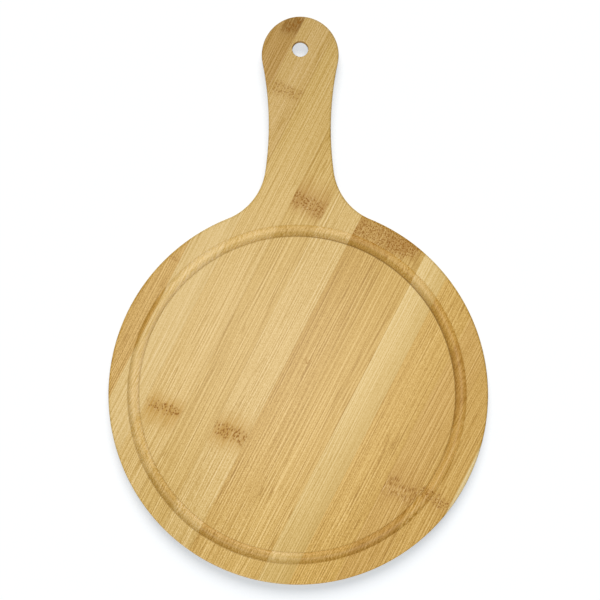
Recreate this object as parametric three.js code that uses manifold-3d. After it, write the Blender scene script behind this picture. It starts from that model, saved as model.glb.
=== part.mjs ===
// Round bamboo serving board with a paddle handle, a juice groove and a hanging hole.
//
// The board is laminated from bamboo slats: a face ply and a back ply, each a row of slats
// glued edge to edge, with the slats running aslant to the handle. The blank is cut to its
// outline, its edges are rounded over, the groove is routed and the hole is drilled after
// gluing, so every slat here is the finished board cut by the slat's own band.
//
// Millimetres, +Z up. The origin is the centre of the round body on its underside, and the
// handle points along +Y.

import * as THREE from 'three';
import { mergeVertices } from 'three/addons/utils/BufferGeometryUtils.js';
import Module from 'manifold-3d';

// Outline
const BODY_DIAMETER = 254;
const OVERALL_LENGTH = 380;
const HANDLE_HEAD_DIAMETER = 51.5;
const WAIST_WIDTH = 41.6;
const WAIST_TO_HANDLE_END = 73.8;
const NECK_FILLET_RADIUS = 40;

// Thickness and edges
const BOARD_THICKNESS = 10;
const FACE_PLY_THICKNESS = 5;
const EDGE_ROUND_RADIUS = 1.5;

// Juice groove, round-bottomed and only in the face ply, routed a little off the body's centre
const GROOVE_MID_DIAMETER = 219;
const GROOVE_WIDTH = 7.7;
const GROOVE_DEPTH = 2.6;
const GROOVE_OFFSET_X = -0.8;
const GROOVE_OFFSET_Y = 0.3;

// Hanging hole
const HOLE_DIAMETER = 10.7;
const HOLE_TO_HANDLE_END = 21.65;

// Slats. Each ply is laid so that the hole is drilled through one slat and misses the seam on its left
// by the wood given here. The two plies differ, so that no seam lies over another.
const GRAIN_ANGLE = 27;
const SLAT_WIDTH = 23.5;
const FACE_SLAT_WIDTHS = [22.3, 25.7, 23.2, 23.1, 24.2, 25.5, 19.5, 26.5, 22.5, 22.9];
const HOLE_TO_FACE_SEAM = 1.15;
const HOLE_TO_BACK_SEAM = 10.65;
const GLUE_LINE = 0.1;

// Facets of the round stretches
const OUTLINE_CHORD_ERROR = 0.04;
const EDGE_ROUND_FACETS = 3;
const GROOVE_FACETS = 8;
const GROOVE_TURN_FACETS = 120;
const HOLE_FACETS = 48;

// Colours of the slats, from the first on the left to the last on the right
const FACE_TONES = [
  '#d2ad6b', '#e0be85', '#dcbc7d', '#dbba7c', '#dcbc80', '#d8b574',
  '#d9b674', '#debf81', '#d6b069', '#cfa864', '#cba35b', '#d8b878',
];
const BACK_TONES = ['#d8b676', '#dcbc80', '#d4ae6c'];
const SLAT_ROUGHNESS = 0.55;

// Room that a cutter reaches past the board
const OVERSHOOT = 2;

const bodyRadius = BODY_DIAMETER / 2;
const headRadius = HANDLE_HEAD_DIAMETER / 2;
const handleEnd = OVERALL_LENGTH - bodyRadius;
const headCentre = new THREE.Vector2(0, handleEnd - headRadius);
const waistHeight = handleEnd - WAIST_TO_HANDLE_END;
const holeCentre = new THREE.Vector2(0, handleEnd - HOLE_TO_HANDLE_END);
const grainTurn = THREE.MathUtils.degToRad(GRAIN_ANGLE);
const bodyCentre = new THREE.Vector2(0, 0);
const holeAcross = holeCentre.clone().rotateAround(bodyCentre, grainTurn).x;
const holeLeft = holeAcross - HOLE_DIAMETER / 2;

const wasm = await Module();
wasm.setup();

// A closed three.js geometry as a solid that can be cut.
function solidFrom(geometry) {
  const bare = geometry.clone();
  bare.deleteAttribute('normal');
  bare.deleteAttribute('uv');
  const merged = mergeVertices(bare);
  return new wasm.Manifold(new wasm.Mesh({
    numProp: 3,
    vertProperties: new Float32Array(merged.attributes.position.array),
    triVerts: new Uint32Array(merged.index.array),
  }));
}

// A solid as a three.js geometry with flat faces.
function geometryFrom(solid) {
  const { vertProperties, triVerts } = solid.getMesh();
  const shared = new THREE.BufferGeometry();
  shared.setAttribute('position', new THREE.BufferAttribute(vertProperties, 3));
  shared.setIndex(new THREE.BufferAttribute(triVerts, 1));
  const faceted = shared.toNonIndexed();
  faceted.computeVertexNormals();
  return faceted;
}

// The points of an arc without its last one. An even number of facets puts a corner in its middle.
function arcPoints(centre, radius, from, to, clockwise) {
  const turn = THREE.MathUtils.euclideanModulo(clockwise ? from - to : to - from, 2 * Math.PI);
  const facetTurn = 2 * Math.acos(1 - OUTLINE_CHORD_ERROR / radius);
  const facets = 2 * Math.ceil(turn / facetTurn / 2);
  const arc = new THREE.ArcCurve(centre.x, centre.y, radius, from, to, clockwise);
  return arc.getPoints(facets).slice(0, -1);
}

// Where two circles about a and b meet, on the side towards the handle's waist.
function circlesMeet(a, radiusA, b, radiusB) {
  const apart = b.clone().sub(a);
  const distance = apart.length();
  const along = (distance ** 2 + radiusA ** 2 - radiusB ** 2) / (2 * distance);
  const aside = Math.sqrt(radiusA ** 2 - along ** 2);
  const way = apart.normalize();
  const foot = a.clone().addScaledVector(way, along);
  return foot.addScaledVector(new THREE.Vector2(-way.y, way.x), aside);
}

// The outline: round body, neck fillets, hollow handle sides and round head, all tangent arcs.
function boardOutline() {
  const halfWaist = WAIST_WIDTH / 2;
  const headRise = headCentre.y - waistHeight;
  const sideRadius = (halfWaist ** 2 + headRise ** 2 - headRadius ** 2) / (2 * (headRadius - halfWaist));
  const side = new THREE.Vector2(halfWaist + sideRadius, waistHeight);
  const neck = circlesMeet(
    bodyCentre, bodyRadius + NECK_FILLET_RADIUS,
    side, sideRadius - NECK_FILLET_RADIUS,
  );
  const mirrored = (point) => new THREE.Vector2(-point.x, point.y);
  const towards = (from, to) => Math.atan2(to.y - from.y, to.x - from.x);

  const neckToBody = towards(neck, bodyCentre);
  const sideToNeck = towards(side, neck);
  const sideToHead = towards(side, headCentre);
  const flip = (angle) => Math.PI - angle;
  return [
    ...arcPoints(bodyCentre, bodyRadius, flip(neckToBody + Math.PI), neckToBody + Math.PI, false),
    ...arcPoints(neck, NECK_FILLET_RADIUS, neckToBody, sideToNeck, true),
    ...arcPoints(side, sideRadius, sideToNeck, sideToHead, true),
    ...arcPoints(headCentre, headRadius, sideToHead + Math.PI, flip(sideToHead + Math.PI), false),
    ...arcPoints(mirrored(side), sideRadius, flip(sideToHead), flip(sideToNeck), true),
    ...arcPoints(mirrored(neck), NECK_FILLET_RADIUS, flip(sideToNeck), flip(neckToBody), true),
  ];
}

// The outline as thick as the board, with its upper and lower edges rounded over.
function roundedBlank() {
  const geometry = new THREE.ExtrudeGeometry(new THREE.Shape(boardOutline()), {
    depth: BOARD_THICKNESS - 2 * EDGE_ROUND_RADIUS,
    bevelThickness: EDGE_ROUND_RADIUS,
    bevelSize: EDGE_ROUND_RADIUS,
    bevelOffset: -EDGE_ROUND_RADIUS,
    bevelSegments: EDGE_ROUND_FACETS,
  });
  geometry.translate(0, 0, EDGE_ROUND_RADIUS);
  return solidFrom(geometry);
}

// The ring that the round-nosed cutter takes out of the face.
function grooveCutter() {
  const half = GROOVE_WIDTH / 2;
  const noseRadius = (half ** 2 + GROOVE_DEPTH ** 2) / (2 * GROOVE_DEPTH);
  const noseHeight = BOARD_THICKNESS - GROOVE_DEPTH + noseRadius;
  const reach = 2 * Math.atan(GROOVE_DEPTH / half);
  const midRadius = GROOVE_MID_DIAMETER / 2;
  const profile = new THREE.Path();
  profile.moveTo(midRadius - half, BOARD_THICKNESS + OVERSHOOT);
  profile.lineTo(midRadius - half, BOARD_THICKNESS);
  const nose = new THREE.ArcCurve(
    midRadius, noseHeight, noseRadius, -Math.PI / 2 - reach, -Math.PI / 2 + reach, false,
  );
  for (const point of nose.getPoints(GROOVE_FACETS).slice(1)) profile.lineTo(point.x, point.y);
  profile.lineTo(midRadius + half, BOARD_THICKNESS + OVERSHOOT);
  profile.closePath();
  const ring = new THREE.LatheGeometry(profile.getPoints(), GROOVE_TURN_FACETS);
  ring.rotateX(Math.PI / 2);
  ring.translate(GROOVE_OFFSET_X, GROOVE_OFFSET_Y, 0);
  return solidFrom(ring);
}

// The drill for the hanging hole.
function holeCutter() {
  const height = BOARD_THICKNESS + 2 * OVERSHOOT;
  const drill = new THREE.CylinderGeometry(HOLE_DIAMETER / 2, HOLE_DIAMETER / 2, height, HOLE_FACETS);
  drill.rotateX(Math.PI / 2);
  drill.translate(holeCentre.x, holeCentre.y, BOARD_THICKNESS / 2);
  return solidFrom(drill);
}

// The finished board as one solid, turned so that the slats run along Y.
function finishedBoard() {
  const board = roundedBlank().subtract(grooveCutter()).subtract(holeCutter());
  const turned = geometryFrom(board).rotateZ(grainTurn);
  return solidFrom(turned);
}

// Seams of a ply from its first seam on, with a full slat's room left past each side of the board.
function plySeams(firstSeam, widths, lowest, highest) {
  const seams = [firstSeam];
  for (const width of widths) seams.push(seams.at(-1) + width);
  while (seams[0] - SLAT_WIDTH > lowest) seams.unshift(seams[0] - SLAT_WIDTH);
  while (seams.at(-1) + SLAT_WIDTH < highest) seams.push(seams.at(-1) + SLAT_WIDTH);
  seams.unshift(Math.min(lowest, seams[0]) - OVERSHOOT);
  seams.push(Math.max(highest, seams.at(-1)) + OVERSHOOT);
  return seams;
}

// The separate pieces that one slat leaves in the board: one, or one in the body and one in the handle.
function slatPieces(board, left, right, low, high) {
  const { min, max } = board.boundingBox();
  const width = right - left - GLUE_LINE;
  const length = max[1] - min[1] + 2 * OVERSHOOT;
  const band = new THREE.BoxGeometry(width, length, high - low);
  band.translate((left + right) / 2, (min[1] + max[1]) / 2, (low + high) / 2);
  return board.intersect(solidFrom(band)).decompose();
}

// Whether a piece starts above the round body, so that it lies only in the handle.
function startsInHandle(piece) {
  const { min, max } = piece.boundingBox();
  const foot = new THREE.Vector2((min[0] + max[0]) / 2, min[1]);
  return foot.rotateAround(bodyCentre, -grainTurn).y > bodyRadius;
}

// Slat 1 is the one left of the first seam. Slats that a longer board adds further left count away from it.
function slatName(ply, number) {
  const label = number > 0 ? String(number).padStart(2, '0') : `left_${1 - number}`;
  return `${ply}_strip_${label}`;
}

// One ply as a group of slats, with each slat's mesh placed at its own centre line.
function plyOfSlats(board, { name, low, high, firstSeam, widths, tones }) {
  const ply = new THREE.Group();
  const { min, max } = board.boundingBox();
  const seams = plySeams(firstSeam, widths, min[0], max[0]);
  const firstSlat = seams.indexOf(firstSeam);
  for (let slat = 1; slat < seams.length; slat += 1) {
    const middle = (seams[slat - 1] + seams[slat]) / 2;
    const tone = tones[(slat - 1) % tones.length];
    const label = slatName(name, slat - firstSlat + 1);
    for (const piece of slatPieces(board, seams[slat - 1], seams[slat], low, high)) {
      const material = new THREE.MeshStandardMaterial({ color: tone, roughness: SLAT_ROUGHNESS, metalness: 0 });
      const mesh = new THREE.Mesh(geometryFrom(piece).translate(-middle, 0, 0), material);
      mesh.name = startsInHandle(piece) ? `${label}_handle` : label;
      mesh.position.x = middle;
      ply.add(mesh);
    }
  }
  return ply;
}

// The board: both plies, turned back so that the handle points along +Y.
function servingBoard() {
  const board = finishedBoard();
  const faceLow = BOARD_THICKNESS - FACE_PLY_THICKNESS;
  const group = new THREE.Group();
  group.rotation.z = -grainTurn;
  group.add(
    plyOfSlats(board, {
      name: 'face',
      low: faceLow,
      high: BOARD_THICKNESS + OVERSHOOT,
      firstSeam: holeLeft - HOLE_TO_FACE_SEAM,
      widths: FACE_SLAT_WIDTHS,
      tones: FACE_TONES,
    }),
    plyOfSlats(board, {
      name: 'back',
      low: -OVERSHOOT,
      high: faceLow - GLUE_LINE,
      firstSeam: holeLeft - HOLE_TO_BACK_SEAM,
      widths: [],
      tones: BACK_TONES,
    }),
  );
  const root = new THREE.Group();
  root.add(group);
  return root;
}

export default servingBoard();
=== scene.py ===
# %% [markdown]
# # A round bamboo serving board, slat by slat
# The board is pressed from flat bamboo slats: a face ply and a back ply, each a row of slats glued
# edge to edge, aslant to the handle. After gluing it is sawn to its outline, its edges are rounded
# over, a juice groove is routed into its face and a hanging hole is drilled. This lesson follows
# that order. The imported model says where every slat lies, and the looks are built around it.

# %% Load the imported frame
import math

import bmesh
import bpy
from mathutils import Matrix, Vector


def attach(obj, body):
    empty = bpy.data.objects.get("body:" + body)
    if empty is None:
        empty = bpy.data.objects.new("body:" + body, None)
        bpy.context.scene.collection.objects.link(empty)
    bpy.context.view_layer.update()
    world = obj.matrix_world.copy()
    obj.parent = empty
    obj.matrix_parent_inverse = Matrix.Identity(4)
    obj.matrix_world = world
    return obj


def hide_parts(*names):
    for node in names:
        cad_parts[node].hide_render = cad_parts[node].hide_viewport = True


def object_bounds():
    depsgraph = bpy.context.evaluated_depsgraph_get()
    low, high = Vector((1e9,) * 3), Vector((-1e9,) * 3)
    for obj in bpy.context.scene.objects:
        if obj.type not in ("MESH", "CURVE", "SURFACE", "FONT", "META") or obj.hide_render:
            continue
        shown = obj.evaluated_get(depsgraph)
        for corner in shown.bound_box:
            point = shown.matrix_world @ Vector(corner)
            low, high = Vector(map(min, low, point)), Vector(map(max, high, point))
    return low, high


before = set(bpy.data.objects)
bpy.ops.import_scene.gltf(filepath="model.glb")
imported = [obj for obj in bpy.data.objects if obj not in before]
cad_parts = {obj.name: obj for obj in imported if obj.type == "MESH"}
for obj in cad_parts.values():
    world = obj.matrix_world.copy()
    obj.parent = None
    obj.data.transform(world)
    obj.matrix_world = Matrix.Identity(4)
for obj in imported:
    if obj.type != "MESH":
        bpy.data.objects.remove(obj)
cad_low, cad_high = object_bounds()
print("frame:", len(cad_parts), "slats, box from", cad_low[:], "to", cad_high[:])

# %% [markdown]
# ## Sizes
# The whole length, the body's radius and the thickness are read from the frame. The rest of the
# outline and the cuts are the maker's own sizes, written once here in millimetres. Blender works
# in metres, so each is multiplied by MM.

# %% Sizes of the board
MM = 0.001
BODY_RADIUS = -cad_low.y
HANDLE_END = cad_high.y
THICKNESS = cad_high.z
HEAD_RADIUS = 25.75 * MM
WAIST_HALF = 20.8 * MM
WAIST_TO_END = 73.8 * MM
NECK_RADIUS = 40 * MM
EDGE_ROUND = 1.5 * MM
GROOVE_RADIUS = 109.5 * MM
GROOVE_HALF = 3.85 * MM
GROOVE_DEPTH = 2.6 * MM
GROOVE_CENTRE = Vector((-0.8, 0.3, 0)) * MM
HOLE_RADIUS = 5.35 * MM
HOLE_TO_END = 21.65 * MM
GRAIN_ANGLE = math.radians(27)
hole_centre = Vector((0, HANDLE_END - HOLE_TO_END, 0))
print("body", round(2 * BODY_RADIUS / MM, 1), "mm across,", round(THICKNESS / MM, 1), "mm thick")

# %% [markdown]
# ## The sawn blank
# The outline is six tangent arcs: the round body, two neck fillets, two hollow handle sides and
# the round head. Only the right half is worked out, and the left half is its mirror image. Every
# point also keeps its outward direction, because the rounded edge is the same outline moved inward
# a little at each height. One could instead bevel an extruded shape, but stacked rings give even
# faces all the way round, and those shade smoothly.

# %% Outline of the right half, mirrored
OUTLINE_STEP = 1.2 * MM


def arc(centre, radius, start, end, bulge):
    """Points of an arc but its last, each with the way out of the board: bulge is -1 on a hollow."""
    steps = max(2, round(abs(end - start) * radius / OUTLINE_STEP))
    spots = []
    for step in range(steps):
        angle = start + (end - start) * step / steps
        ray = Vector((math.cos(angle), math.sin(angle), 0))
        spots.append((centre + radius * ray, bulge * ray))
    return spots


def heading(start, end):
    """The direction from one point to another, from 0 to a full turn."""
    return math.atan2(end.y - start.y, end.x - start.x) % math.tau


def board_outline():
    body = Vector((0, 0, 0))
    head = Vector((0, HANDLE_END - HEAD_RADIUS, 0))
    waist = HANDLE_END - WAIST_TO_END
    rise = head.y - waist
    side_radius = (WAIST_HALF**2 + rise**2 - HEAD_RADIUS**2) / (2 * (HEAD_RADIUS - WAIST_HALF))
    side = Vector((WAIST_HALF + side_radius, waist, 0))
    to_body = BODY_RADIUS + NECK_RADIUS
    to_side = side_radius - NECK_RADIUS
    along = (side.length**2 + to_body**2 - to_side**2) / (2 * side.length)
    aside = math.sqrt(to_body**2 - along**2)
    way = side.normalized()
    neck = along * way + aside * Vector((-way.y, way.x, 0))
    right = arc(body, BODY_RADIUS, -math.pi / 2, heading(body, neck), 1)
    right += arc(neck, NECK_RADIUS, heading(neck, body), heading(side, neck), -1)
    right += arc(side, side_radius, heading(side, neck), heading(side, head), -1)
    right += arc(head, HEAD_RADIUS, heading(head, side) - math.tau, math.pi / 2, 1)
    tip = [(Vector((0, HANDLE_END, 0)), Vector((0, 1, 0)))]
    flip = Matrix.Diagonal((-1, 1, 1))
    left = [(flip @ point, flip @ out) for point, out in reversed(right[1:])]
    return right + tip + left


outline = board_outline()
print("outline of", len(outline), "points")

# %% Blank from rings of the outline
ROUND_STEPS = 8


def new_object(name, mesh):
    piece = bpy.data.objects.new(name, mesh)
    bpy.context.scene.collection.objects.link(piece)
    return piece


def skin_rings(name, rings, capped):
    """A closed mesh through rings of points: capped at both ends, or joined last to first."""
    skin = bmesh.new()
    loops = [[skin.verts.new(point) for point in ring] for ring in rings]
    pairs = list(zip(loops, loops[1:]))
    if capped:
        skin.faces.new(loops[0])
        skin.faces.new(loops[-1])
    else:
        pairs.append((loops[-1], loops[0]))
    for upper, lower in pairs:
        for here in range(len(upper)):
            skin.faces.new((upper[here - 1], upper[here], lower[here], lower[here - 1]))
    bmesh.ops.recalc_face_normals(skin, faces=skin.faces)
    mesh = bpy.data.meshes.new(name)
    skin.to_mesh(mesh)
    skin.free()
    return new_object(name, mesh)


def rounded_edge():
    """Inset and height of each ring, from the face over the rim to the back."""
    quarter = [math.pi / 2 * step / ROUND_STEPS for step in range(ROUND_STEPS + 1)]
    upper = []
    for turn in quarter:
        inset = EDGE_ROUND * (1 - math.sin(turn))
        upper.append((inset, THICKNESS - EDGE_ROUND * (1 - math.cos(turn))))
    lower = [(inset, THICKNESS - height) for inset, height in reversed(upper)]
    return upper + lower


def outline_ring(inset, height):
    return [point - inset * out + Vector((0, 0, height)) for point, out in outline]


blank = skin_rings("blank", [outline_ring(*step) for step in rounded_edge()], capped=True)
print("blank with", len(blank.data.polygons), "faces")

# %% [markdown]
# ## The groove and the hole
# A round-nosed router bit leaves a groove whose floor is an arc, and sanding eases its two rims by a
# fraction of a millimetre. The drill's two rims are eased too. Both cutters are turned shapes, so
# each is one profile swept round its axis, and the boolean takes them out of the blank. The easing
# is part of the cutter, and it dips into the wood at a slight angle so that no face is tangent.

# %% Profiles of the cutters
GROOVE_EASE = 0.35 * MM
HOLE_EASE = 0.5 * MM
EASE_STEPS = 5
GROOVE_STEPS = 18
PROUD = 0.01 * MM
CUTTER_TOP = THICKNESS + 2 * MM


def eased_rim(radius, height, ease, wall, way, upward):
    """An arc from the flat face down a wall: way is 1 on an outer rim, upward is 1 on the face."""
    reach = ease * math.tan(wall / 2)
    middle = (radius + way * reach, height + upward * (PROUD - ease))
    spots = []
    for step in range(EASE_STEPS + 1):
        turn = wall * step / EASE_STEPS
        aside = way * ease * math.sin(turn)
        above = upward * ease * math.cos(turn)
        spots.append((middle[0] - aside, middle[1] + above))
    return spots


def groove_profile():
    nose = (GROOVE_HALF**2 + GROOVE_DEPTH**2) / (2 * GROOVE_DEPTH)
    wall = 2 * math.atan(GROOVE_DEPTH / GROOVE_HALF)
    eased = wall - GROOVE_EASE * math.tan(wall / 2) / nose
    inner = eased_rim(GROOVE_RADIUS - GROOVE_HALF, THICKNESS, GROOVE_EASE, wall, -1, 1)
    outer = eased_rim(GROOVE_RADIUS + GROOVE_HALF, THICKNESS, GROOVE_EASE, wall, 1, 1)
    floor = []
    for step in range(1, GROOVE_STEPS):
        swing = eased * (2 * step / GROOVE_STEPS - 1)
        height = THICKNESS - GROOVE_DEPTH + nose * (1 - math.cos(swing))
        floor.append((GROOVE_RADIUS + nose * math.sin(swing), height))
    lid = [(outer[0][0], CUTTER_TOP), (inner[0][0], CUTTER_TOP)]
    return inner + floor + outer[::-1] + lid


def hole_profile():
    upper = eased_rim(HOLE_RADIUS, THICKNESS, HOLE_EASE, math.pi / 2, 1, 1)
    lower = eased_rim(HOLE_RADIUS, 0, HOLE_EASE, math.pi / 2, 1, -1)
    top = [(upper[0][0], CUTTER_TOP)]
    bottom = [(lower[0][0], THICKNESS - CUTTER_TOP)]
    return top + upper + lower[::-1] + bottom


print("profiles of", len(groove_profile()), "and", len(hole_profile()), "points")

# %% Cut the groove and the hole
GROOVE_TURNS = 540
HOLE_TURNS = 120


def turned(name, profile, centre, turns, capped):
    """A profile of (radius, height) swept round a vertical axis."""
    angles = [math.tau * turn / turns for turn in range(turns)]
    rings = []
    for radius, height in profile:
        ring = [Vector((radius * math.cos(a), radius * math.sin(a), height)) for a in angles]
        rings.append([centre + point for point in ring])
    return skin_rings(name, rings, capped)


def cut(piece, cutter):
    taking = piece.modifiers.new("cut", "BOOLEAN")
    taking.operation = "DIFFERENCE"
    taking.solver = "MANIFOLD"
    taking.object = cutter


def settled(piece):
    """The piece's mesh with all its modifiers worked in."""
    graph = bpy.context.evaluated_depsgraph_get()
    return bpy.data.meshes.new_from_object(piece.evaluated_get(graph), depsgraph=graph)


cutters = [
    turned("groove_cutter", groove_profile(), GROOVE_CENTRE, GROOVE_TURNS, capped=False),
    turned("hole_cutter", hole_profile(), hole_centre, HOLE_TURNS, capped=True),
]
for cutter in cutters:
    cut(blank, cutter)
board_mesh = settled(blank)
for scrap in [blank] + cutters:
    bpy.data.objects.remove(scrap)
print("cut board with", len(board_mesh.polygons), "faces")

# %% [markdown]
# ## Helpers for node trees
# Geometry Nodes and materials are both trees of nodes. Wired socket by socket they make long code,
# so here a node is one line. The first helper adds a node, and wires each of its inputs to another
# node's output or sets it to a plain value. The next three write sums with numbers and vectors, and
# the last opens a group with named sockets.

# %% Node helpers


def add(tree, kind, inputs=None, **settings):
    node = tree.nodes.new(kind)
    for name, value in settings.items():
        setattr(node, name, value)
    for name, value in (inputs or {}).items():
        if isinstance(value, bpy.types.NodeSocket):
            tree.links.new(value, node.inputs[name])
        else:
            node.inputs[name].default_value = value
    return node


def maths(tree, operation, *values):
    """A sum with numbers."""
    return add(tree, "ShaderNodeMath", dict(enumerate(values)), operation=operation).outputs[0]


def vectors(tree, operation, *values):
    """A sum with vectors."""
    return add(tree, "ShaderNodeVectorMath", dict(enumerate(values)), operation=operation).outputs[0]


def measured(tree, operation, *values):
    """A length, a distance or a dot product of vectors, which is a number."""
    node = add(tree, "ShaderNodeVectorMath", dict(enumerate(values)), operation=operation)
    return node.outputs["Value"]


def new_group(name, kind, inputs, outputs):
    """An empty node group with named sockets, and its two ends."""
    tree = bpy.data.node_groups.new(name, kind)
    for way, sockets in (("INPUT", inputs), ("OUTPUT", outputs)):
        for label, socket in sockets.items():
            tree.interface.new_socket(label, in_out=way, socket_type=socket)
    return tree, add(tree, "NodeGroupInput").outputs, add(tree, "NodeGroupOutput")


node_helpers = (add, maths, vectors, measured, new_group)
print("node helpers:", ", ".join(helper.__name__ for helper in node_helpers))

# %% [markdown]
# ## The slats
# All 28 slats come out of one rule: the finished board, cut by a slat's own straight band. Modelled
# one by one they would drift from the outline, so one Geometry Nodes tree makes them all. It makes a
# box in the grain's direction from six named limits and keeps what the box and the board share.
# Edges sharper than an angle stay crisp, and the rest shades smoothly. The limits are measured on
# the frame's own slats, so each stands where its node is.

# %% Slat tree
CRISP_ANGLE = math.radians(40)
LIMITS = ["Across From", "Across To", "Along From", "Along To", "Low", "High"]


def slat_tree():
    inputs = {"Board": "NodeSocketGeometry"}
    inputs.update({limit: "NodeSocketFloat" for limit in LIMITS})
    inputs.update({"Grain Angle": "NodeSocketFloat", "Finish": "NodeSocketMaterial"})
    outputs = {"Slat": "NodeSocketGeometry"}
    tree, given, result = new_group("slat", "GeometryNodeTree", inputs, outputs)
    spans = [(given[low], given[high]) for low, high in zip(LIMITS[::2], LIMITS[1::2])]
    size = [maths(tree, "SUBTRACT", high, low) for low, high in spans]
    middle = [maths(tree, "MULTIPLY", maths(tree, "ADD", low, high), 0.5) for low, high in spans]
    extent = add(tree, "ShaderNodeCombineXYZ", dict(enumerate(size)))
    place = add(tree, "ShaderNodeCombineXYZ", dict(enumerate(middle)))
    clockwise = maths(tree, "MULTIPLY", given["Grain Angle"], -1.0)
    turn = add(tree, "ShaderNodeCombineXYZ", {"Z": clockwise})
    band = add(tree, "GeometryNodeMeshCube", {"Size": extent.outputs[0]})
    moving = {"Geometry": band.outputs["Mesh"], "Translation": place.outputs[0]}
    moved = add(tree, "GeometryNodeTransform", moving)
    turning = {"Geometry": moved.outputs[0], "Rotation": turn.outputs[0]}
    swung = add(tree, "GeometryNodeTransform", turning)
    shared = add(tree, "GeometryNodeMeshBoolean", operation="INTERSECT", solver="MANIFOLD")
    tree.links.new(given["Board"], shared.inputs["Mesh 2"])
    tree.links.new(swung.outputs[0], shared.inputs["Mesh 2"])
    bend = add(tree, "GeometryNodeInputMeshEdgeAngle").outputs["Unsigned Angle"]
    gentle = maths(tree, "LESS_THAN", bend, CRISP_ANGLE)
    shading = {"Geometry": shared.outputs["Mesh"], "Shade Smooth": True}
    shaded = add(tree, "GeometryNodeSetShadeSmooth", shading)
    crisp = add(tree, "GeometryNodeSetShadeSmooth", {"Geometry": shaded.outputs[0]}, domain="EDGE")
    tree.links.new(gentle, crisp.inputs["Shade Smooth"])
    real = add(tree, "GeometryNodeRealizeInstances", {"Geometry": crisp.outputs[0]})
    coating = {"Geometry": real.outputs[0], "Material": given["Finish"]}
    finished = add(tree, "GeometryNodeSetMaterial", coating)
    tree.links.new(finished.outputs[0], result.inputs["Slat"])
    return tree


slat_nodes = slat_tree()
print("slat tree with", len(slat_nodes.nodes), "nodes")

# %% Slats measured on the frame
SEAM_GAP = 0.03 * MM
CAD_SEAM_GAP = 0.1 * MM
to_grain = Matrix.Rotation(GRAIN_ANGLE, 3, "Z")


def grain_limits(node):
    """A slat's limits across the grain, along it and in height, with part of the glue line added."""
    points = [to_grain @ vertex.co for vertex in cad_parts[node].data.vertices]
    spread = (CAD_SEAM_GAP - SEAM_GAP) / 2
    limits = []
    for axis in range(3):
        reach = [point[axis] for point in points]
        limits += [min(reach) - spread, max(reach) + spread]
    return limits


packed_slats = sorted(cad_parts)
widths = [grain_limits(node)[1] - grain_limits(node)[0] for node in packed_slats]
print("slats from", round(min(widths) / MM, 1), "to", round(max(widths) / MM, 1), "mm wide")

# %% One slat from the tree


def socket_names(tree):
    """Each input's name and the identifier by which a modifier knows it."""
    return {item.name: item.identifier for item in tree.interface.items_tree if item.in_out == "INPUT"}


slat_sockets = socket_names(slat_nodes)


def make_slat(name, node, finish):
    slat = new_object(name, board_mesh.copy())
    rule = slat.modifiers.new("slat", "NODES")
    rule.node_group = slat_nodes
    for label, value in zip(LIMITS, grain_limits(node)):
        rule[slat_sockets[label]] = value
    rule[slat_sockets["Grain Angle"]] = GRAIN_ANGLE
    rule[slat_sockets["Finish"]] = finish
    flat = slat.modifiers.new("flat faces stay flat", "WEIGHTED_NORMAL")
    flat.keep_sharp = True
    whole = settled(slat)
    slat.modifiers.clear()
    slat.data = whole
    whole.name = name
    return slat


print("slat tree's inputs:", ", ".join(slat_sockets))

# %% [markdown]
# ## The grain's own directions
# Bamboo is a bundle of long fibres, so its look depends on three directions: across the slat, along
# the fibres, and through the thickness. A UV map would lay a pattern on the surface only. Object
# coordinates give the place in the solid board instead, and one Mapping node turns them by the grain
# angle and makes them millimetres. Because the pattern fills the solid, the fibres show as lines on
# the face, and as dots where the rim or the groove cuts them.

# %% Grain coordinates
TO_MM = (1 / MM, 1 / MM, 1 / MM)


def grain_group():
    outputs = {"Grain": "NodeSocketVector", "Across": "NodeSocketFloat", "Along": "NodeSocketFloat"}
    tree, _, result = new_group("grain", "ShaderNodeTree", {}, outputs)
    place = add(tree, "ShaderNodeTexCoord").outputs["Object"]
    turning = {"Vector": place, "Rotation": (0, 0, GRAIN_ANGLE), "Scale": TO_MM}
    grain = add(tree, "ShaderNodeMapping", turning).outputs[0]
    parts = add(tree, "ShaderNodeSeparateXYZ", {0: grain})
    tree.links.new(grain, result.inputs["Grain"])
    tree.links.new(parts.outputs["X"], result.inputs["Across"])
    tree.links.new(parts.outputs["Y"], result.inputs["Along"])
    return tree


grain_nodes = grain_group()
print("grain turned by", round(math.degrees(GRAIN_ANGLE)), "degrees from the handle")

# %% Patterns along the grain
MIDDLE = 0.5


def ramp(tree, value, low, high, start=0.0, end=1.0, smooth=False):
    """A value carried from one range to another and held at its ends."""
    kind = "SMOOTHSTEP" if smooth else "LINEAR"
    inputs = {"Value": value, "From Min": low, "From Max": high, "To Min": start, "To Max": end}
    return add(tree, "ShaderNodeMapRange", inputs, interpolation_type=kind).outputs[0]


def fade(tree, value, low, high):
    """1 up to the low value and 0 from the high one on, with a soft passage between them."""
    return ramp(tree, value, low, high, 1.0, 0.0, smooth=True)


def streaks(tree, grain, seed, width, length, detail=0.0):
    """Noise drawn out along the fibres: MIDDLE on average, one streak every width millimetres."""
    drawn = vectors(tree, "DIVIDE", grain, (width, length, width))
    inputs = {"Vector": drawn, "W": seed, "Scale": 1.0, "Detail": detail}
    return add(tree, "ShaderNodeTexNoise", inputs, noise_dimensions="4D").outputs[0]


def lines(tree, grain, seed, width, length, step):
    """Fine lines, a pale one beside every dark one: noise less the same noise a step to the side."""
    aside = vectors(tree, "ADD", grain, (step, 0.0, 0.0))
    here = streaks(tree, grain, seed, width, length)
    return maths(tree, "SUBTRACT", here, streaks(tree, aside, seed, width, length))


def from_cell(tree, place, seed):
    """How far a place is from the middle of its cell, in a pattern of scattered cells."""
    inputs = {"Vector": place, "W": seed, "Scale": 1.0}
    return add(tree, "ShaderNodeTexVoronoi", inputs, voronoi_dimensions="4D").outputs["Distance"]


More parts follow.
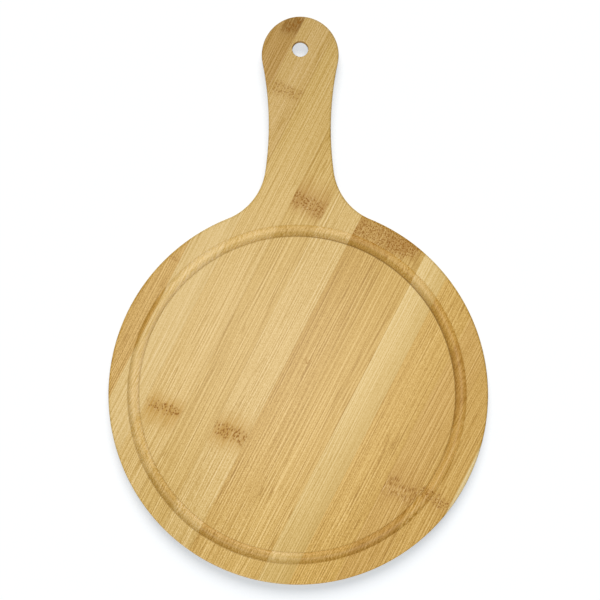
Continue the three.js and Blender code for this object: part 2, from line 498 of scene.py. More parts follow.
pattern_helpers = (ramp, fade, streaks, lines, from_cell)
print("pattern helpers:", ", ".join(helper.__name__ for helper in pattern_helpers))

# %% [markdown]
# ## Fibres
# Close up, a planed slat is a mass of hair-fine lines: bundles of tough fibres, each well under a
# millimetre wide and some centimetres long, in paler ground tissue. A picture of bamboo could lie on
# the flat face, but it would smear over the rim and the groove, so the lines are noise that fills
# the solid. The group adds broad streaks, pairs of a dark and a pale line, a short grit, cells for
# the bundles and patches of dark hairlines into one number: MIDDLE on average, less on a deep fibre
# and more on pale ground. The longest fine lines also give the surface its relief. On the sawn rim
# the grit is calmer, and the bundles show more, as the dots that mark bamboo's end grain.

# %% Bundles and hairlines
# Widths and lengths in millimetres, edges and ranges in the noise's own measure
SWAY = 0.25
SWAY_CELL = (30.0, 55.0)
SWAY_RANGE = (0.2, 0.8)
BUNDLE_CELL = (0.8, 60.0, 0.7)
BUNDLE_EDGE = (0.30, 0.50)
BUNDLE_COVER = 0.16
HAIR_SPACING = (1.7, 45.0)
HAIR_EDGE = (0.02, 0.08)
HAIR_COVER = 0.20
HAIR_PATCH = (5.0, 90.0)
PATCH_EDGE = (0.46, 0.64)


def swayed(tree, grain, seed):
    """The place moved a little to the side, so that no fibre runs dead straight."""
    bend = streaks(tree, grain, seed, *SWAY_CELL)
    aside = ramp(tree, bend, *SWAY_RANGE, -SWAY, SWAY)
    return vectors(tree, "ADD", grain, add(tree, "ShaderNodeCombineXYZ", {"X": aside}).outputs[0])


def bundles(tree, place, seed):
    """1 on a bundle and 0 beside it, less the part of the slat that bundles cover."""
    distance = from_cell(tree, vectors(tree, "DIVIDE", place, BUNDLE_CELL), seed)
    return maths(tree, "SUBTRACT", fade(tree, distance, *BUNDLE_EDGE), BUNDLE_COVER)


def hairlines(tree, place, seed):
    """Thin lines where a noise crosses its middle value, in patches."""
    off_line = maths(tree, "SUBTRACT", streaks(tree, place, seed, *HAIR_SPACING), MIDDLE)
    hair = fade(tree, maths(tree, "ABSOLUTE", off_line), *HAIR_EDGE)
    patch = ramp(tree, streaks(tree, place, seed, *HAIR_PATCH), *PATCH_EDGE, smooth=True)
    return maths(tree, "MULTIPLY", maths(tree, "SUBTRACT", hair, HAIR_COVER), patch)


print("a bundle every", BUNDLE_CELL[0], "mm and, in patches, a hairline every", HAIR_SPACING[0], "mm")

# %% Fibre group
BUNDLE_SHARE = 0.20
SIDE_BUNDLES = 0.75
HAIR_SHARE = 0.8
# Width and length in millimetres, share of the tone, step of the seed
BROAD_LAYERS = [
    (6.0, 260.0, 0.42, 0.0),
    (2.6, 150.0, 0.35, 7.3),
]
GRIT_LAYER = (0.45, 0.7, 2.60, 14.6)
SIDE_GRIT = 0.25
# Width, length and step to the side in millimetres, share of the tone, step of the seed
FINE_LAYERS = [
    (0.9, 160.0, 0.55, 1.70, 11.9),
    (0.9, 45.0, 0.55, 2.00, 19.2),
]
LINE_BEND = 0.2
TONE_LIMITS = (-1.0, 2.0)


def fibre_group():
    inputs = {"Grain": "NodeSocketVector", "Seed": "NodeSocketFloat", "Side": "NodeSocketFloat"}
    outputs = {"Tone": "NodeSocketFloat", "Relief": "NodeSocketFloat"}
    tree, given, result = new_group("fibres", "ShaderNodeTree", inputs, outputs)
    seed = given["Seed"]
    place = swayed(tree, given["Grain"], seed)
    bundle_share = ramp(tree, given["Side"], 0.0, 1.0, -BUNDLE_SHARE, -SIDE_BUNDLES)
    tone = maths(tree, "MULTIPLY_ADD", bundles(tree, place, seed), bundle_share, MIDDLE)
    tone = maths(tree, "MULTIPLY_ADD", hairlines(tree, place, seed), -HAIR_SHARE, tone)
    for width, length, share, step in BROAD_LAYERS:
        noise = streaks(tree, place, maths(tree, "ADD", seed, step), width, length)
        swing = maths(tree, "MULTIPLY_ADD", noise, share, -share * MIDDLE)
        tone = maths(tree, "ADD", tone, swing)
    width, length, share, step = GRIT_LAYER
    noise = streaks(tree, place, maths(tree, "ADD", seed, step), width, length)
    grit = maths(tree, "SUBTRACT", noise, MIDDLE)
    grit_share = ramp(tree, given["Side"], 0.0, 1.0, share, share * SIDE_GRIT)
    tone = maths(tree, "MULTIPLY_ADD", grit, grit_share, tone)
    drawn = []
    for width, length, aside, share, step in FINE_LAYERS:
        drawn.append(lines(tree, place, maths(tree, "ADD", seed, step), width, length, aside))
        tone = maths(tree, "MULTIPLY_ADD", drawn[-1], share, tone)
    away = maths(tree, "SUBTRACT", tone, MIDDLE)
    tone = maths(tree, "MULTIPLY_ADD", maths(tree, "MULTIPLY", away, away), -LINE_BEND, tone)
    tree.links.new(ramp(tree, tone, *TONE_LIMITS, *TONE_LIMITS), result.inputs["Tone"])
    tree.links.new(maths(tree, "ADD", drawn[0], MIDDLE), result.inputs["Relief"])
    return tree


fibre_nodes = fibre_group()
print("fibre group with", len(fibre_nodes.nodes), "nodes")

# %% [markdown]
# ## Nodes of the culm
# A bamboo culm has a joint every few hand widths. Where a slat crosses one, the fibres knot together
# and leave a dark flecked band, square to the grain or nearly so, with a brown stain that fades out
# along the fibres. No two are alike, and a group with named inputs can draw them all: its place,
# tilt and thickness, how far the stain reaches up and down, how strong both are, how large the
# flecks are, whether pale ones lie between the dark and how wide the band is. A slat with no joint
# simply has no band.

# %% Place of a node band
BAND_INPUTS = [
    "Across", "Along", "Tilt", "Thickness", "Stain Up", "Stain Down",
    "Fleck", "Stain", "Fleck Width", "Fleck Length", "Pale", "Half Width", "Seed",
]
BAND_WAVE = 2.0
WAVE_CELL = (3.2, 9.0)
WAVE_DETAIL = 1.0
WAVE_RANGE = (0.25, 0.75)


def band_place(tree, given):
    """How far a place is beside the band's middle and, on its tilted and wavy line, above it."""
    here = add(tree, "ShaderNodeSeparateXYZ", {0: given["Grain"]})
    aside = maths(tree, "SUBTRACT", here.outputs["X"], given["Across"])
    above = maths(tree, "SUBTRACT", here.outputs["Y"], given["Along"])
    above = maths(tree, "SUBTRACT", above, maths(tree, "MULTIPLY", aside, given["Tilt"]))
    wave = streaks(tree, given["Grain"], given["Seed"], *WAVE_CELL, WAVE_DETAIL)
    return aside, maths(tree, "ADD", above, ramp(tree, wave, *WAVE_RANGE, -BAND_WAVE, BAND_WAVE))


print("a band has", len(BAND_INPUTS), "inputs and waves by", BAND_WAVE, "mm")

# %% Node band group
CORE_FROM = 0.35
SIDES_FROM = 0.55
MARK_EDGE = (0.40, 0.56)
MARK_GROUND = 0.12
PALE_SEED = 31.0
STAIN_HAIRS = (0.9, 30.0)
HAIRS_DETAIL = 1.0
HAIRS_RANGE = (0.3, 0.7)
HAIRS_STAIN = (0.45, 1.4)


def product(tree, *values):
    """All the values multiplied together, from the first on."""
    whole = values[0]
    for value in values[1:]:
        whole = maths(tree, "MULTIPLY", whole, value)
    return whole


def share_of(tree, value, whole):
    """How large a value is against a whole, whichever side it lies on."""
    return maths(tree, "DIVIDE", maths(tree, "ABSOLUTE", value), whole)


def band_group():
    inputs = {"Grain": "NodeSocketVector"}
    inputs.update({label: "NodeSocketFloat" for label in BAND_INPUTS})
    outputs = {label: "NodeSocketFloat" for label in ("Marks", "Stained", "Pale")}
    tree, given, result = new_group("node band", "ShaderNodeTree", inputs, outputs)
    grain, seed = given["Grain"], given["Seed"]
    aside, above = band_place(tree, given)
    within = fade(tree, share_of(tree, aside, given["Half Width"]), SIDES_FROM, 1.0)
    core = fade(tree, share_of(tree, above, given["Thickness"]), CORE_FROM, 1.0)
    core = product(tree, within, core)
    width, length = given["Fleck Width"], given["Fleck Length"]
    size = add(tree, "ShaderNodeCombineXYZ", {"X": width, "Y": length, "Z": width})
    cells = vectors(tree, "DIVIDE", grain, size.outputs[0])
    dark = fade(tree, from_cell(tree, cells, seed), *MARK_EDGE)
    other_seed = maths(tree, "ADD", seed, PALE_SEED)
    pale = fade(tree, from_cell(tree, cells, other_seed), *MARK_EDGE)
    ground = ramp(tree, dark, 0.0, 1.0, MARK_GROUND, 1.0)
    upper = fade(tree, maths(tree, "DIVIDE", above, given["Stain Up"]), 0.0, 1.0)
    lower = ramp(tree, maths(tree, "DIVIDE", above, given["Stain Down"]), -1.0, 0.0, smooth=True)
    hairs = streaks(tree, grain, seed, *STAIN_HAIRS, HAIRS_DETAIL)
    patchy = ramp(tree, hairs, *HAIRS_RANGE, *HAIRS_STAIN)
    stained = product(tree, upper, lower, patchy, within, given["Stain"])
    tree.links.new(product(tree, core, ground, given["Fleck"]), result.inputs["Marks"])
    tree.links.new(maths(tree, "MINIMUM", stained, 1.0), result.inputs["Stained"])
    tree.links.new(product(tree, core, pale, given["Pale"]), result.inputs["Pale"])
    return tree


band_nodes = band_group()
print("node band group with", len(band_nodes.nodes), "nodes")

# %% [markdown]
# ## Cut surfaces
# The router opens a deeper layer of each slat, which may be paler or deeper than its face, so the
# groove changes tone at every seam. Its two rims have a thin dark line, partly a scorch of the bit
# and partly painted shade: the inner rim's line is painted darker on one side of the board and the
# outer rim's, more faintly, on the other, where the wall faces away from the light. The inner wall is
# painted paler and bluer than the floor, as painted sheen for the gloss that the walls lose, the
# whole groove a little bluer, and the outer wall a little deeper. The sawn rim of the board is a shade
# darker where it crosses the grain, because oil soaks into the open fibre ends. Faces of each kind
# could have materials of their own, but then every border would be hard. So the group measures the
# place in the board: in the groove, on its walls and its rims, how far a surface faces along the
# fibres, and whether it is one of the board's sides.

# %% Rim lines of the groove: scorch and painted shade
# Widths in millimetres, strengths of the line, and where its painted shade sets in
RIM_LINE = 0.55
RIM_LINE_OUT = 0.15
OUTER_LINE = 0.6
RIM_DARK = 0.27
RIM_SHADED_DARK = 0.95
SHADE_EDGE = (0.6, 0.95)
SHADED_SIDE_ANGLE = math.radians(50)
SHADED_SIDE_WAY = (math.cos(SHADED_SIDE_ANGLE), math.sin(SHADED_SIDE_ANGLE), 0)


def scorch_and_shade_line(tree, flat, aside, outer):
    """The dark rim line: scorch all round, and painted shade where the wall faces away from the light.
    Aside is the way from the groove's middle, outer is 1 beyond it.
    """
    rim = GROOVE_HALF / MM + RIM_LINE_OUT
    from_rim = maths(tree, "ABSOLUTE", maths(tree, "SUBTRACT", aside, rim))
    line = ramp(tree, from_rim, 0.0, RIM_LINE, 1.0, 0.0)
    strength = ramp(tree, outer, 0.0, 1.0, 1.0, OUTER_LINE)
    # Painted shade: the inner rim's line is darker toward one side of the board, the outer rim's
    # toward the other
    toward = measured(tree, "DOT_PRODUCT", vectors(tree, "NORMALIZE", flat), SHADED_SIDE_WAY)
    toward = maths(tree, "MULTIPLY", toward, ramp(tree, outer, 0.0, 1.0, 1.0, -1.0))
    rim_darkness = ramp(tree, toward, *SHADE_EDGE, RIM_DARK, RIM_SHADED_DARK, smooth=True)
    return product(tree, line, strength, rim_darkness)


# The angle printed is where the rim line's painted shade is darkest
print("inner rim scorched at", round(math.degrees(SHADED_SIDE_ANGLE)), "degrees, outer rim opposite")

# %% Cut surface group
CUTS = ["Groove", "Inner Wall", "Outer Wall", "Line", "End", "Side"]
# Margins in millimetres, and how far up a surface faces that is partly or wholly a side
FLOOR_MARGIN = 0.3
GROOVE_MARGIN = (-0.3, 0.1)
WALL_FROM = 0.8
WALL_MARGIN = 1
SIDE_FROM = 0.35
SIDE_TO = 0.10
GRAIN_WAY = (math.sin(GRAIN_ANGLE), math.cos(GRAIN_ANGLE), 0)


def cut_group():
    outputs = {label: "NodeSocketFloat" for label in CUTS}
    tree, _, result = new_group("cut surfaces", "ShaderNodeTree", {}, outputs)
    place = add(tree, "ShaderNodeTexCoord").outputs["Object"]
    centring = {"Vector": place, "Location": tuple(-GROOVE_CENTRE / MM), "Scale": TO_MM}
    moved = add(tree, "ShaderNodeMapping", centring).outputs[0]
    flat = vectors(tree, "MULTIPLY", moved, (1, 1, 0))
    radius = measured(tree, "LENGTH", flat)
    height = add(tree, "ShaderNodeSeparateXYZ", {0: moved}).outputs["Z"]
    groove_floor = (THICKNESS - GROOVE_DEPTH) / MM
    half = GROOVE_HALF / MM
    face_side = ramp(tree, height, groove_floor - FLOOR_MARGIN, groove_floor)
    aside = maths(tree, "ABSOLUTE", maths(tree, "SUBTRACT", radius, GROOVE_RADIUS / MM))
    inside = ramp(tree, aside, half + GROOVE_MARGIN[0], half + GROOVE_MARGIN[1], 1.0, 0.0)
    outer = maths(tree, "GREATER_THAN", radius, GROOVE_RADIUS / MM)
    groove = product(tree, inside, face_side)
    wall = product(tree, groove, ramp(tree, aside, WALL_FROM, half - WALL_MARGIN))
    outer_wall = product(tree, wall, outer)
    facing = add(tree, "ShaderNodeNewGeometry").outputs["Normal"]
    upward = maths(tree, "ABSOLUTE", add(tree, "ShaderNodeSeparateXYZ", {0: facing}).outputs["Z"])
    along_fibres = measured(tree, "DOT_PRODUCT", facing, GRAIN_WAY)
    cuts = {
        "Groove": groove,
        "Inner Wall": maths(tree, "SUBTRACT", wall, outer_wall),
        "Outer Wall": outer_wall,
        "Line": product(tree, scorch_and_shade_line(tree, flat, aside, outer), face_side),
        "End": maths(tree, "POWER", along_fibres, 2.0),
        "Side": ramp(tree, upward, SIDE_TO, SIDE_FROM, 1.0, 0.0),
    }
    for label in CUTS:
        tree.links.new(cuts[label], result.inputs[label])
    return tree


cut_nodes = cut_group()
print("cut surface group with", len(cut_nodes.nodes), "nodes")

# %% [markdown]
# ## The finish of one slat
# Every slat comes from another culm, so each has a tone of its own and its own seed for the fibres.
# The tone is written once. As bamboo darkens, blue fades fastest and red slowest, so the tone is
# multiplied by a spread of the three colours raised to a level: zero leaves it as it is, more makes
# it paler, less makes it deeper. A Gamma node does just that, and a mix of two fixed browns would
# miss the hues between. Fibres show less on a pale slat and more toward the board's far end. Bands,
# where the slat has any, stain it golden or brown, and their marks darken it. The groove's rim line
# darkens it too, partly as scorch and partly as painted shade, and the groove's walls get a painted
# sheen.
# The oiled surface is satin, a little duller along the open fibres, and duller still in the groove
# and on the bands.

# %% Level of the tone
FIBRE_CONTRAST = 1.60
PALE_CALM = 5.2
LEAST_CONTRAST = 0.5
GROOVE_CALM = 0.9
FAR_CONTRAST = 1.25
BLUE = 2
# Places along the grain, in millimetres, between which a slat changes
FAR_SPAN = (-80.0, 20.0)
ENDS_SPAN = (-90.0, 90.0)


def fibre_level(tree, grain, cuts, fibre_tone, blue):
    """How much paler or deeper the fibres make the slat. A pale slat is known by its blue."""
    plain = max(FIBRE_CONTRAST - PALE_CALM * blue, LEAST_CONTRAST)
    contrast = ramp(tree, cuts["Groove"], 0.0, 1.0, plain, plain * GROOVE_CALM)
    far_end = ramp(tree, grain["Along"], *FAR_SPAN, FAR_CONTRAST, 1.0)
    swing = maths(tree, "SUBTRACT", fibre_tone, MIDDLE)
    return maths(tree, "MULTIPLY", swing, maths(tree, "MULTIPLY", contrast, far_end))


def side_level(tree, across, sides):
    """How much paler or deeper the slat is at its left edge, its middle and its right edge."""
    left, right, (at_left, at_middle, at_right) = sides
    place = ramp(tree, across, left, right)
    first = ramp(tree, place, 0.0, 0.5, at_left, at_middle, smooth=True)
    second = ramp(tree, place, 0.5, 1.0, 0.0, at_right - at_middle, smooth=True)
    return maths(tree, "ADD", first, second)


print("fibre contrast from", LEAST_CONTRAST, "on the palest slat to", FIBRE_CONTRAST)

# %% Colours of the cut slat
SPREAD = (1.24, 1.355, 1.98, 1)
GROOVE_SPREAD = (1.21, 1.32, 1.72, 1)
GROOVE_SPAN = (-50.0, 50.0)
# Painted sheen: the groove and its inner wall are paler and bluer for the gloss they lose; the outer
# wall is a little deeper
GROOVE_SHEEN = (1.0, 1.01, 1.08, 1)
INNER_WALL_SHEEN = (1.11, 1.15, 1.42, 1)
OUTER_TINT = (0.93, 0.95, 1.05, 1)
# Places of the colours among the inputs and outputs of a Mix node
MIX_FIRST = 6
MIX_SECOND = 7
MIX_RESULT = 2


def blend(tree, factor, first, second, **settings):
    inputs = {0: factor, MIX_FIRST: first, MIX_SECOND: second}
    return add(tree, "ShaderNodeMix", inputs, data_type="RGBA", **settings).outputs[MIX_RESULT]


def tinted(tree, factor, colour, tint):
    return blend(tree, factor, colour, tint, blend_type="MULTIPLY")


def shift(tree, spread, level):
    """What a colour is multiplied by to make it a level paler, or deeper if the level is negative."""
    return add(tree, "ShaderNodeGamma", {"Color": spread, "Gamma": level}).outputs[0]


def groove_tone_and_sheen(tree, grain, cuts, groove):
    """The same for the groove: its tone at the two ends of the slat, with painted sheen on the groove
    and its inner wall, and the outer wall's tint.
    """
    routed = shift(tree, GROOVE_SPREAD, ramp(tree, grain["Along"], *GROOVE_SPAN, *groove))
    tint = blend(tree, cuts["Inner Wall"], GROOVE_SHEEN, INNER_WALL_SHEEN)
    tint = blend(tree, cuts["Outer Wall"], tint, OUTER_TINT)
    return tinted(tree, 1.0, tint, routed)


print("a level paler: red, green and blue times", SPREAD[:3])

# %% Oiled surface
ROUGH_LOW = 0.41
ROUGH_HIGH = 0.42
RELIEF_RANGE = (0.2, 0.8)
GROOVE_ROUGH = 0.10
BAND_ROUGH = 0.20
OIL_IOR = 1.42
BUMP_STRENGTH = 0.1
GROOVE_BUMP = 0.06
BUMP_HEIGHT = 0.06 * MM


def oil(tree, shader, cuts, relief, dark):
    """Satin oil over the fine relief of the fibres. Dark is the strength of a band's marks."""
    rough = ramp(tree, relief, *RELIEF_RANGE, ROUGH_HIGH, ROUGH_LOW)
    rough = maths(tree, "MULTIPLY_ADD", cuts["Groove"], GROOVE_ROUGH, rough)
    rough = maths(tree, "MULTIPLY_ADD", dark, BAND_ROUGH, rough)
    raised = maths(tree, "SUBTRACT", relief, dark)
    strength = ramp(tree, cuts["Groove"], 0.0, 1.0, BUMP_STRENGTH, GROOVE_BUMP)
    bumps = {"Height": raised, "Strength": strength, "Distance": BUMP_HEIGHT}
    bump = add(tree, "ShaderNodeBump", bumps)
    tree.links.new(rough, shader.inputs["Roughness"])
    tree.links.new(bump.outputs["Normal"], shader.inputs["Normal"])
    shader.inputs["IOR"].default_value = OIL_IOR


print("roughness", ROUGH_LOW, "on the face,", round(ROUGH_LOW + GROOVE_ROUGH, 2), "in the groove")

# %% Slat finish
BURNT = (0.33, 0.13, 0.002, 1)
# Colour of the groove's rim line, which is scorch and painted shade
SCORCH_AND_SHADE = (0.26, 0.13, 0.012, 1)
END_DARK = 0.04
DARKEST = 0.95


def slat_finish(name, tone, seed, bands, sides, ends, groove):
    """Oiled bamboo. Sides, ends and groove say how much paler or deeper the slat is there."""
    finish = bpy.data.materials.new(name)
    finish.use_nodes = True
    tree = finish.node_tree
    shader = tree.nodes["Principled BSDF"]
    grain = add(tree, "ShaderNodeGroup", node_tree=grain_nodes).outputs
    cuts = add(tree, "ShaderNodeGroup", node_tree=cut_nodes).outputs
    inputs = {"Grain": grain["Grain"], "Side": cuts["Side"], "Seed": seed}
    fibres = add(tree, "ShaderNodeGroup", inputs, node_tree=fibre_nodes).outputs
    level = fibre_level(tree, grain, cuts, fibres["Tone"], tone[BLUE])
    level = maths(tree, "ADD", level, side_level(tree, grain["Across"], sides))
    level = maths(tree, "ADD", level, ramp(tree, grain["Along"], *ENDS_SPAN, *ends))
    dark = maths(tree, "MULTIPLY", cuts["End"], END_DARK)
    stains = []
    for values, stain in bands:
        inputs = {"Grain": grain["Grain"], **dict(zip(BAND_INPUTS, values))}
        band = add(tree, "ShaderNodeGroup", inputs, node_tree=band_nodes).outputs
        dark = maths(tree, "ADD", dark, band["Marks"])
        level = maths(tree, "ADD", level, band["Pale"])
        stains.append((band["Stained"], stain))
    colour = tinted(tree, 1.0, (*tone, 1), shift(tree, SPREAD, level))
    # The groove's own tone, with painted sheen on its walls
    colour = tinted(tree, cuts["Groove"], colour, groove_tone_and_sheen(tree, grain, cuts, groove))
    for amount, stain in stains:
        colour = blend(tree, amount, colour, stain)
    # The groove's rim line: scorch, and painted shade on one side
    colour = blend(tree, cuts["Line"], colour, SCORCH_AND_SHADE)
    colour = blend(tree, maths(tree, "MINIMUM", dark, DARKEST), colour, BURNT)
    tree.links.new(colour, shader.inputs["Base Color"])
    oil(tree, shader, cuts, fibres["Relief"], dark)
    return finish


print("a finish for each of", len(packed_slats), "slats")

# %% [markdown]
# ## The slats of both plies
# Tones and bands of the face ply follow the board, from the first slat on the left to the last on
# the right. What differs from slat to slat is a table, so that any one can be changed by itself. The
# back ply was never seen: its slats borrow tones from the face, and a few have a band where a culm
# could well have its joint.

# %% Tones of the face ply
FACE_TONES = {
    "01": (0.632, 0.376, 0.081),
    # The handle pieces of slats 01 and 02 are deeper partly as painted shade, for the light's falloff
    # toward the handle's end
    "01_handle": (0.565, 0.330, 0.081),
    "02": (0.735, 0.508, 0.176),
    "02_handle": (0.700, 0.460, 0.148),
    "03": (0.695, 0.458, 0.132),
    "04": (0.673, 0.435, 0.112),
    "05": (0.688, 0.454, 0.130),
    "06": (0.650, 0.398, 0.088),
    "07": (0.665, 0.412, 0.093),
    "08": (0.765, 0.532, 0.180),
    "09": (0.680, 0.413, 0.088),
    "10": (0.658, 0.391, 0.088),
    "11": (0.660, 0.394, 0.085),
    "12": (0.800, 0.600, 0.260),
}
# How much paler or deeper a slat is at its left edge, middle and right edge
PLAIN_SIDES = (-0.12, 0.05, -0.12)
FACE_SIDES = {
    "05": (-0.06, 0.02, 0.06),
    "06": (-0.25, 0.05, -0.05),
    "08": (0.20, 0.02, -0.42),
}
# The same at the slat's far end and at the handle's end
PLAIN_ENDS = (0.0, 0.0)
FACE_ENDS = {
    "03": (-0.04, 0.06),
    "04": (-0.08, 0.02),
    "05": (0.00, 0.12),
    "06": (0.18, -0.20),
    "07": (0.20, -0.06),
    "08": (-0.50, 0.05),
    "09": (-0.08, 0.03),
    "10": (-0.18, 0.02),
}
# Tone of the groove against the face, at the far end of the slat and at the handle's end
PLAIN_GROOVE = (0.0, 0.0)
FACE_GROOVES = {
    "01": (-0.50, -0.60),
    "02": (-0.05, 0.40),
    "03": (0.10, 0.30),
    "04": (-0.40, -0.15),
    "05": (0.10, 0.10),
    "06": (-0.60, -0.45),
    "07": (-0.45, -0.25),
    "08": (0.33, -0.65),
    "09": (-0.40, -0.80),
    "10": (-0.75, -1.20),
    "11": (0.25, -0.65),
}
print(len(FACE_TONES), "tones, the palest on slat", max(FACE_TONES, key=FACE_TONES.get))

# %% Bands of the face ply
# Half width of a band that crosses its whole slat, in millimetres
WHOLE_SLAT = 60.0
GOLDEN = (0.52, 0.26, 0.001, 1)
BROWN = (0.43, 0.18, 0.005, 1)
UMBER = (0.28, 0.13, 0.018, 1)
# Width and length of a mark's cell, in millimetres
DOT = (1.15, 1.3)
STROKE = (1.05, 2.2)
SPECK = (0.95, 1.1)
DASH = (0.75, 3.2)


def knot(place, tilt, thickness, reach, fleck, amount, stain, marks, seed, pale=0.0, half=WHOLE_SLAT):
    """The inputs of one band, in millimetres, and its stain: reach is the stain's own, up and down."""
    return (*place, tilt, thickness, *reach, fleck, amount, *marks, pale, half, seed), stain


FACE_KNOTS = {
    "01": [knot((-113.4, 43.1), 0.0, 1.6, (4, 3), 0.60, 0.20, BROWN, DOT, 3.1)],
    "01_handle": [
        knot((-114.5, 219.0), 0.45, 6.5, (12, 12), 1.40, 0.55, UMBER, STROKE, 4.4, 0.0, 10),
    ],
    "02_handle": [
        knot((-100.2, 176.7), 0.12, 6.0, (8, 7), 0.66, 0.18, GOLDEN, DOT, 5.7, 0.0, 14),
    ],
    "03": [knot((-74.9, -48.8), 0.10, 5.0, (13, 20), 1.10, 0.70, GOLDEN, DOT, 6.2, 0.5, 16)],
    "04": [knot((-52.6, 116.4), 0.02, 7.0, (24, 13), 1.00, 0.50, BROWN, DOT, 7.9, 0.6)],
    "05": [knot((-28.4, -43.6), 0.09, 7.0, (20, 17), 1.00, 0.75, GOLDEN, STROKE, 8.3, 0.6, 15)],
    "06": [
        knot((-5.3, 121.0), 0.12, 14.0, (28, 16), 1.05, 0.32, BROWN, SPECK, 9.4, 0.8),
        knot((-5.3, 23.0), 0.0, 1.5, (2, 2), 0.80, 0.10, BROWN, DOT, 9.9, 0.0, 2.5),
    ],
    "07": [knot((15.5, 121.0), 0.30, 11.0, (22, 13), 1.35, 0.56, BROWN, SPECK, 10.6, 0.8, 16)],
    "10": [knot((89.8, -24.5), 0.0, 9.0, (26, 20), 0.85, 0.20, BROWN, DASH, 11.5, 0.9)],
    "11": [knot((110.0, -19.5), -0.1, 5.0, (8, 16), 0.95, 0.20, BROWN, DOT, 12.8, 0.7)],
}
print(sum(len(bands) for bands in FACE_KNOTS.values()), "bands on the face ply")

# %% Tones and bands of the back ply
BACK_TONES = [FACE_TONES[label] for label in ("03", "06", "05", "09", "08", "10", "04")]
BACK_KNOTS = {
    "03": [knot((-68.0, 62.0), -0.10, 6.0, (12, 12), 0.90, 0.30, GOLDEN, STROKE, 21.2)],
    "05": [knot((-15.0, -70.0), 0.08, 6.5, (14, 10), 0.90, 0.32, BROWN, STROKE, 22.6)],
    "08": [knot((55.0, 28.0), -0.08, 6.0, (12, 12), 0.95, 0.32, GOLDEN, STROKE, 23.9)],
    "10": [knot((102.0, -45.0), 0.05, 6.0, (10, 12), 0.85, 0.30, BROWN, STROKE, 24.3)],
    "02_handle": [knot((-97.0, 168.0), 0.1, 6.0, (9, 9), 0.90, 0.30, GOLDEN, STROKE, 25.1)],
}
print(len(BACK_TONES), "tones in turn and", len(BACK_KNOTS), "bands on the back ply")

# %% Make the slats of both plies
SEED_STEP = 1.7


def finish_for(node, seed):
    """The finish of one slat, from the tables of its ply."""
    ply, label = node.split("_strip_")
    left, right = [limit / MM for limit in grain_limits(node)[:2]]
    if ply == "face":
        tone = FACE_TONES[label]
        bands = FACE_KNOTS.get(label, [])
        sides = FACE_SIDES.get(label, PLAIN_SIDES)
        ends = FACE_ENDS.get(label, PLAIN_ENDS)
    else:
        tone = BACK_TONES[int(label[:2]) % len(BACK_TONES)]
        bands = BACK_KNOTS.get(label, [])
        sides = PLAIN_SIDES
        ends = PLAIN_ENDS
    groove = FACE_GROOVES.get(label, PLAIN_GROOVE)
    name = f"bamboo_{ply}_{label}"
    return slat_finish(name, tone, seed, bands, (left, right, sides), ends, groove)


slats = []
for order, node in enumerate(packed_slats):
    finish = finish_for(node, SEED_STEP * order)
    slat = make_slat("slat_" + node.replace("_strip_", "_"), node, finish)
    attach(slat, "root")
    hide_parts(node)
    slats.append(slat)
print(len(slats), "slats,", sum(len(slat.data.polygons) for slat in slats), "faces")

# %% [markdown]
# ## Floor, light and camera
# The board lies on plain white. A soft box hangs over it, and a wide lamp low in front rakes across
# the face and shades one wall of the groove. A lamp almost level with the board lifts the edge on
# the handle's side, and is kept out of reflections. The floor has a lamp of its own, also from the
# handle's side, which gives the soft shadow along the lower rim. Under the hole, a small pool of light
# is painted on the floor as a glow that only the camera sees. One lamp for everything would be
# simpler, but light linking keeps each to the thing that it is meant for. The camera looks straight
# down from a little over a metre.

# %% Floor
FLOOR_SIZE = 6.0
FLOOR_COLOUR = (0.7, 0.7, 0.7, 1)
FLOOR_GLOW = 0.48
HOLE_GLOW = 0.60
HOLE_GLOW_REACH = (HOLE_RADIUS * 1.5, HOLE_RADIUS * 2)
GLOW_TINT = (0.90, 1.00, 1.10, 1)


def white_paper():
    """Matt paper that the camera sees a little brighter than its light makes it."""
    paper = bpy.data.materials.new("white_paper")
    paper.use_nodes = True
    tree = paper.node_tree
    tree.nodes.clear()
    matt = add(tree, "ShaderNodeBsdfDiffuse", {"Color": FLOOR_COLOUR})
    seen = add(tree, "ShaderNodeLightPath").outputs["Is Camera Ray"]
    place = add(tree, "ShaderNodeTexCoord").outputs["Object"]
    # Painted light: the glow is stronger in a small disc under the hole
    from_hole = measured(tree, "DISTANCE", place, tuple(hole_centre))
    lit = ramp(tree, from_hole, *HOLE_GLOW_REACH, HOLE_GLOW, FLOOR_GLOW)
    strength = maths(tree, "MULTIPLY", seen, lit)
    glow = add(tree, "ShaderNodeEmission", {"Color": GLOW_TINT, "Strength": strength})
    both = add(tree, "ShaderNodeAddShader", {0: matt.outputs[0], 1: glow.outputs[0]})
    add(tree, "ShaderNodeOutputMaterial", {"Surface": both.outputs[0]})
    return paper


square = bmesh.new()
bmesh.ops.create_grid(square, x_segments=1, y_segments=1, size=FLOOR_SIZE / 2)
floor_mesh = bpy.data.meshes.new("floor")
square.to_mesh(floor_mesh)
square.free()
floor_mesh.materials.append(white_paper())
floor = new_object("floor", floor_mesh)
print("floor", FLOOR_SIZE, "m wide")

# %% Lamp helpers


def group_of(name, pieces):
    group = bpy.data.collections.new(name)
    for piece in pieces:
        group.objects.link(piece)
    return group


def new_lamp(name, kind, lights, strength, place, target):
    """A lamp at a place, turned to its target, that lights one group of pieces."""
    data = bpy.data.lights.new(name, kind)
    data.energy = strength
    lamp = new_object(name, data)
    lamp.location = place
    lamp.rotation_euler = (Vector(place) - Vector(target)).to_track_quat("Z", "Y").to_euler()
    lamp.visible_camera = False
    lamp.light_linking.receiver_collection = lights
    return lamp


def new_sun(name, lights, strength, place, degrees, tint):
    """A far lamp: only the way from its place to the board's middle counts."""
    lamp = new_lamp(name, "SUN", lights, strength, place, (0, 0, 0))
    lamp.data.angle = math.radians(degrees)
    lamp.data.color = tint
    return lamp


print("lamp helpers:", new_lamp.__name__, "and", new_sun.__name__)

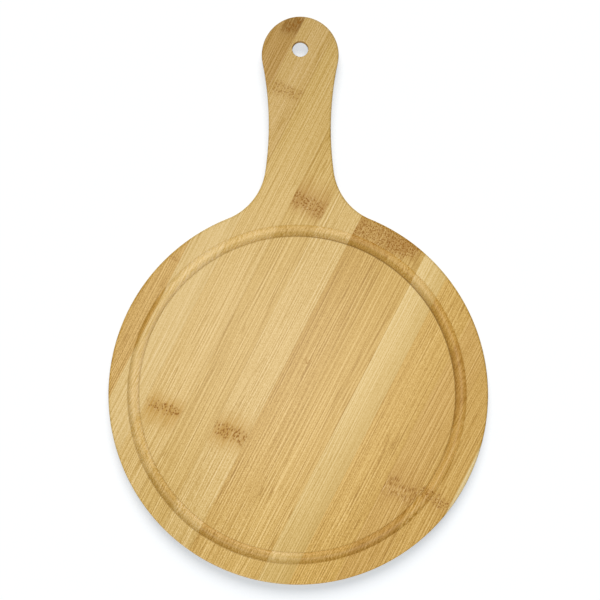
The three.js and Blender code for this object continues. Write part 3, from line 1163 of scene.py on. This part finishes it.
# %% Lamps
# Strengths, places in metres, widths of the suns in degrees, and tints
BOX_STRENGTH = 1.54
BOX_PLACE = (-0.027, 0.010, 0.55)
BOX_TARGET = (-0.027, 0.010, 0)
BOX_SIZE = 0.20
RAKE_LAMP = {"strength": 1.1, "place": (-0.28, -0.96, 0.58), "degrees": 30, "tint": (0.97, 1.0, 1.25)}
BACK_LAMP = {"strength": 1.5, "place": (0, 1.0, 0.025), "degrees": 2, "tint": (0.9, 1.0, 1.5)}
FLOOR_LAMP = {"strength": 2.36, "place": (0, 1.0, 1.035), "degrees": 40, "tint": (1.0, 0.95, 0.90)}
on_board = group_of("board pieces", slats)
on_floor = group_of("floor pieces", [floor])
soft_box = new_lamp("soft_box", "AREA", on_board, BOX_STRENGTH, BOX_PLACE, BOX_TARGET)
soft_box.data.shape = "DISK"
soft_box.data.size = BOX_SIZE
rake = new_sun("raking_lamp", on_board, **RAKE_LAMP)
back_lamp = new_sun("back_lamp", on_board, **BACK_LAMP)
back_lamp.visible_glossy = False
floor_lamp = new_sun("floor_lamp", on_floor, **FLOOR_LAMP)
print("lamps:", soft_box.name, rake.name, back_lamp.name, floor_lamp.name)

# %% World
WORLD_LIGHT = 0.27
WHITE = (1, 1, 1, 1)
world = bpy.data.worlds.new("studio")
world.use_nodes = True
sky = world.node_tree
sky.nodes.clear()
seen = add(sky, "ShaderNodeLightPath").outputs["Is Camera Ray"]
strength = ramp(sky, seen, 0.0, 1.0, WORLD_LIGHT, 1.0)
around = add(sky, "ShaderNodeBackground", {"Color": WHITE, "Strength": strength})
add(sky, "ShaderNodeOutputWorld", {"Surface": around.outputs[0]})
bpy.context.scene.world = world
bpy.context.scene.view_settings.view_transform = "Standard"
print("world light", WORLD_LIGHT, "on the board, plain white behind it")

# %% Camera
CAMERA_RISE = 1.15
VIEW_WIDTH = 400.8 * MM
VIEW_CENTRE = Vector((0.8, 63.45, 0)) * MM
VIEW_TURN = math.radians(0.33)
lens = bpy.data.cameras.new("camera")
lens.sensor_fit = "HORIZONTAL"
lens.angle = 2 * math.atan(VIEW_WIDTH / 2 / CAMERA_RISE)
camera = new_object("camera", lens)
camera.location = VIEW_CENTRE + Vector((0, 0, THICKNESS + CAMERA_RISE))
camera.rotation_euler = (0, 0, VIEW_TURN)
bpy.context.scene.camera = camera
print("camera", CAMERA_RISE, "m over the face, lens", round(math.degrees(lens.angle), 1), "degrees")
